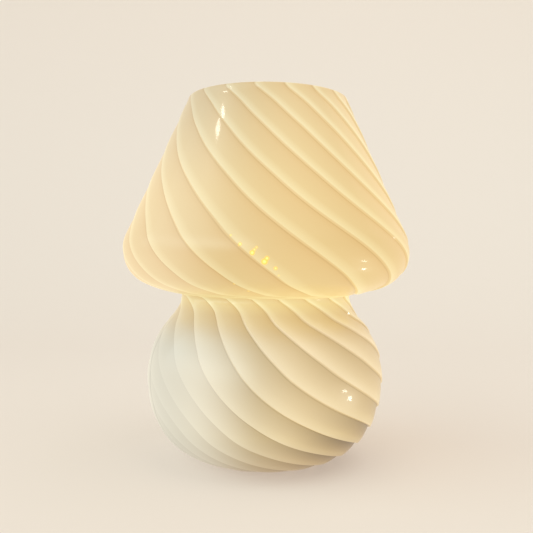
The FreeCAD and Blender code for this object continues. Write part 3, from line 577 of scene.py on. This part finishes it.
# finishes of the pieces that keep their CAD shape: colour, second colour, roughness, metal, and the grain's size in
# cells a metre, its stretch along x, y and z, and its depth in metres
finishes = {
    "felt": ((0.74, 0.71, 0.65), (0.56, 0.53, 0.48), 0.95, 0.0, 2600, (1, 1, 0.4), 0.00035),
    "gasket_rubber": ((0.030, 0.030, 0.032), (0.055, 0.054, 0.052), 0.62, 0.0, 900, (1, 1, 1), 0.00004),
    "zinc_steel": ((0.62, 0.63, 0.64), (0.48, 0.50, 0.53), 0.30, 1.0, 500, (1, 1, 6), 0.00003),
    "sleeve_paint": ((0.82, 0.80, 0.75), (0.78, 0.76, 0.70), 0.22, 0.0, 240, (1, 1, 1), 0.00003),
    "bushing_plastic": ((0.76, 0.74, 0.69), (0.70, 0.68, 0.63), 0.45, 0.0, 1400, (1, 1, 1), 0.00003),
    "holder_plastic": ((0.84, 0.82, 0.77), (0.80, 0.78, 0.72), 0.26, 0.0, 300, (1, 1, 1), 0.00002),
    "core_plastic": ((0.70, 0.67, 0.60), (0.62, 0.59, 0.52), 0.60, 0.0, 1100, (1, 1, 1), 0.00003),
    "shell_brass": ((0.72, 0.49, 0.20), (0.56, 0.36, 0.13), 0.32, 1.0, 420, (1, 1, 5), 0.00002),
    "contact_bronze": ((0.66, 0.40, 0.19), (0.52, 0.30, 0.14), 0.36, 1.0, 700, (4, 1, 1), 0.00002),
    "solder": ((0.58, 0.58, 0.60), (0.46, 0.46, 0.48), 0.38, 1.0, 1500, (1, 1, 1), 0.00006),
    "cap_glass": ((0.012, 0.012, 0.016), (0.022, 0.021, 0.024), 0.10, 0.0, 500, (1, 1, 1), 0.00001),
    "cap_nickel": ((0.66, 0.63, 0.57), (0.56, 0.53, 0.48), 0.25, 1.0, 600, (1, 1, 4), 0.00002),
    "cement": ((0.72, 0.68, 0.58), (0.60, 0.56, 0.47), 0.85, 0.0, 1800, (1, 1, 1), 0.00010),
    "wire_steel": ((0.60, 0.59, 0.57), (0.50, 0.50, 0.49), 0.24, 1.0, 900, (1, 1, 1), 0.00001),
    "circuit_board": ((0.02, 0.16, 0.07), (0.04, 0.24, 0.10), 0.35, 0.0, 900, (1, 1, 1), 0.00003),
}
# how the grain shows: size of the broad cells beside the fine ones, and the range of a finish's roughness
grain = {"broad": 0.11, "smoothest": 0.85, "roughest": 1.2}
filamentLook = {"colour": (1.0, 0.62, 0.03), "hot": (1.0, 0.80, 0.12), "strength": 9.0, "spots": 900.0,
                "base": (0.85, 0.62, 0.18), "roughness": 0.5}
bulbGlass = {"tint": (0.97, 0.965, 0.95), "secondTint": (0.985, 0.98, 0.97), "patches": 90.0, "roughness": 0.01,
             "gloss": 1.0, "index": 1.5}


def grainFinish(name, look):
    first, second, roughness, metal, size, stretch, depth = look
    material, tree = newMaterial(name)
    fine = noise(tree, size, 3.0, stretch)
    broad = noise(tree, size * grain["broad"], 2.0)
    mixed = calc(tree, "MULTIPLY_ADD", fine, 0.5, calc(tree, "MULTIPLY", broad, 0.5))
    uneven = spread(tree, broad, 0.3, 0.7, roughness * grain["smoothest"], min(1.0, roughness * grain["roughest"]),
                    False)
    shader = put(tree, "ShaderNodeBsdfPrincipled", {
        "Base Color": blendColour(tree, spread(tree, mixed, 0.35, 0.65), first, second), "Metallic": metal,
        "Roughness": uneven, "Normal": bump(tree, fine, depth)})
    finishMaterial(tree, shader.outputs[0])
    return material


def filamentFinish(look):
    material, tree = newMaterial("filament_phosphor")
    spots = noise(tree, look["spots"], 1.0)
    colour = blendColour(tree, spread(tree, spots, 0.35, 0.65), look["colour"], look["hot"])
    shader = put(tree, "ShaderNodeBsdfPrincipled", {
        "Base Color": (*look["base"], 1.0), "Roughness": look["roughness"], "Emission Color": colour,
        "Emission Strength": look["strength"]})
    finishMaterial(tree, shader.outputs[0])
    return material


def clearFinish(look):
    material, tree = newMaterial("clear_glass")
    patches = spread(tree, noise(tree, look["patches"], 1.0), 0.3, 0.7)
    through = put(tree, "ShaderNodeBsdfTransparent", {
        "Color": blendColour(tree, patches, look["tint"], look["secondTint"])})
    shine = put(tree, "ShaderNodeBsdfGlossy", {"Roughness": look["roughness"]})
    # gloss on outer faces only: from inside, Fresnel turns to full reflection past 42 degrees and draws a dark ring
    outer = calc(tree, "SUBTRACT", 1.0, put(tree, "ShaderNodeNewGeometry").outputs["Backfacing"])
    share = calc(tree, "MULTIPLY", put(tree, "ShaderNodeFresnel", {"IOR": look["index"]}).outputs[0],
                 calc(tree, "MULTIPLY", outer, look["gloss"]))
    both = put(tree, "ShaderNodeMixShader", {0: share, 1: through.outputs[0], 2: shine.outputs[0]})
    finishMaterial(tree, both.outputs[0])
    return material


def dressNodes():
    made = {name: grainFinish(name, look) for name, look in finishes.items()}
    made["filament_phosphor"] = filamentFinish(filamentLook)
    made["clear_glass"] = clearFinish(bulbGlass)
    slotOf = {part["node"]: part["material_slot"] for part in frame["record"]["subparts"]}
    for name, node in nodes.items():
        if slotOf[name] in made:
            for place in node.material_slots:
                place.link = "DATA"
            node.data.materials.clear()
            node.data.materials.append(made[slotOf[name]])


dressNodes()
print("finishes")

# the stage, in metres
stageLook = {"colour": (0.44, 0.405, 0.36), "glow": (0.409, 0.352, 0.305), "front": -3.0, "back": 1.3, "bend": 0.8,
             "top": 3.0, "half": 4.0, "bendSteps": 24, "roughness": 0.9}


def makeStage(s):
    bendStart = s["back"] - s["bend"]
    outline = [(s["front"], 0.0), (bendStart, 0.0)]
    for k in range(1, s["bendSteps"] + 1):
        angle = pi / 2 * k / s["bendSteps"]
        outline.append((bendStart + s["bend"] * sin(angle), s["bend"] - s["bend"] * cos(angle)))
    outline.append((s["back"], s["top"]))
    points = [(side * s["half"], y, z) for y, z in outline for side in (-1, 1)]
    faces = [(2 * k, 2 * k + 1, 2 * k + 3, 2 * k + 2) for k in range(len(outline) - 1)]
    mesh = bpy.data.meshes.new("floor")
    mesh.from_pydata(points, [], faces)
    mesh.shade_smooth()
    floor = bpy.data.objects.new("floor", mesh)
    bpy.context.collection.objects.link(floor)
    material, tree = newMaterial("paleFloor")
    paint = put(tree, "ShaderNodeBsdfPrincipled", {
        "Base Color": (*s["colour"], 1.0), "Roughness": s["roughness"], "Specular IOR Level": 0.0,
        "Emission Color": (*s["glow"], 1.0), "Emission Strength": 1.0})
    clear = put(tree, "ShaderNodeBsdfTransparent")      # for a view from under the floor
    below = calc(tree, "MULTIPLY", put(tree, "ShaderNodeNewGeometry").outputs["Backfacing"],
                 put(tree, "ShaderNodeLightPath").outputs["Is Camera Ray"])
    both = put(tree, "ShaderNodeMixShader", {0: below, 1: paint.outputs[0], 2: clear.outputs[0]})
    finishMaterial(tree, both.outputs[0])
    mesh.materials.append(material)


def areaLight(name, place, target, size, power, colour):
    data = bpy.data.lights.new(name, "AREA")
    data.shape = "RECTANGLE"
    data.size, data.size_y = size
    data.energy = power
    data.color = colour
    lamp = bpy.data.objects.new(name, data)
    bpy.context.collection.objects.link(lamp)
    aim = (Vector(target) - Vector(place)).to_track_quat("-Z", "Y")
    lamp.matrix_world = Matrix.Translation(place) @ aim.to_matrix().to_4x4()
    return lamp


# distances in metres, and the rest in the pixels of a square frame
cameraView = {"distance": 0.450, "height": 0.1317, "focalPixels": 704.6, "framePixels": 533,
              "horizonPixel": 250.7, "axisPixel": 266.3, "lean": radians(0.64), "sensorWidth": 36.0}


def makeCamera(c):
    data = bpy.data.cameras.new("camera")
    data.sensor_width = c["sensorWidth"]
    data.lens = c["sensorWidth"] * c["focalPixels"] / c["framePixels"]
    middle = c["framePixels"] / 2
    data.shift_y = (c["horizonPixel"] - middle) / c["framePixels"]
    data.shift_x = (middle - c["axisPixel"]) / c["framePixels"]
    camera = bpy.data.objects.new("camera", data)
    bpy.context.collection.objects.link(camera)
    a = c["lean"]
    camera.matrix_world = Matrix(((cos(a), -sin(a), 0, 0), (0, 0, -1, -c["distance"]),
                                  (sin(a), cos(a), 0, c["height"]), (0, 0, 0, 1)))
    bpy.context.scene.camera = camera


makeStage(stageLook)
softTopLook = {"place": (0.5, -0.35, 1.4), "target": (0, 0.05, 0.0), "size": (1.3, 1.3), "power": 9.0,
               "colour": (1.0, 0.97, 0.92)}
softTop = areaLight("softTop", **softTopLook)
softTop.visible_glossy = softTop.visible_camera = False
# small lights whose mirror images are the glints on the glass: from, to, size, power
glints = {
    "streak": ((-0.612, -0.236, 1.02), (-0.0268, -0.0538, 0.2027), (0.080, 0.050), 0.46),
    "glintShade": ((0.438, -0.097, 0.0187), (0.0537, -0.0709, 0.1278), (0.050, 0.016), 0.06),
    "glintBall": ((0.242, -0.051, 0.010), (0.0472, -0.0558, 0.052), (0.018, 0.013), 0.028),
}
glintColour = (1.0, 0.98, 0.90)
for name, (start, end, size, power) in glints.items():
    glint = areaLight(name, start, end, size, power, glintColour)
    glint.visible_diffuse = glint.visible_camera = False
# a window on the left: the lobe by how squarely it is faced, its rise and fall by height, and the light of the room
daylight = {"towards": (-0.92, -0.38, 0.05), "colour": (0.80, 0.98, 1.0), "strength": 3.7, "lobe": (0.2, 1.0),
            "rise": (-0.02, 0.36), "fall": (0.3, 0.7, 1.0, 0.45), "rest": (1.0, 0.95, 0.88),
            "restStrength": (0.0, 0.45, 0.72, 0.28), "seen": (0.80, 0.74, 0.64)}


def makeWorld(d):
    world = bpy.data.worlds.new("studio")
    bpy.context.scene.world = world
    world.use_nodes = True
    tree = world.node_tree
    tree.nodes.clear()
    way = put(tree, "ShaderNodeTexCoord").outputs["Generated"]
    facing = put(tree, "ShaderNodeVectorMath", {0: way, 1: Vector(d["towards"]).normalized()}, operation="DOT_PRODUCT")
    lobe = spread(tree, facing.outputs["Value"], *d["lobe"])
    up = put(tree, "ShaderNodeSeparateXYZ", {0: way}).outputs[2]
    lobe = calc(tree, "MULTIPLY", lobe, spread(tree, up, *d["rise"]))
    lobe = calc(tree, "MULTIPLY", lobe, spread(tree, up, *d["fall"]))
    rest = put(tree, "ShaderNodeBackground", {"Color": (*d["rest"], 1.0),
                                              "Strength": spread(tree, up, *d["restStrength"])})
    window = put(tree, "ShaderNodeBackground", {"Color": (*d["colour"], 1.0),
                                                "Strength": calc(tree, "MULTIPLY", lobe, d["strength"])})
    both = put(tree, "ShaderNodeAddShader", {0: rest.outputs[0], 1: window.outputs[0]})
    plain = put(tree, "ShaderNodeBackground", {"Color": (*d["seen"], 1.0), "Strength": 1.0})
    seen = put(tree, "ShaderNodeMixShader", {0: put(tree, "ShaderNodeLightPath").outputs["Is Camera Ray"],
                                             1: both.outputs[0], 2: plain.outputs[0]})
    put(tree, "ShaderNodeOutputWorld", {"Surface": seen.outputs[0]})


makeWorld(daylight)
bpy.context.scene.view_settings.view_transform = "Standard"
makeCamera(cameraView)
print("stage, lights and camera")
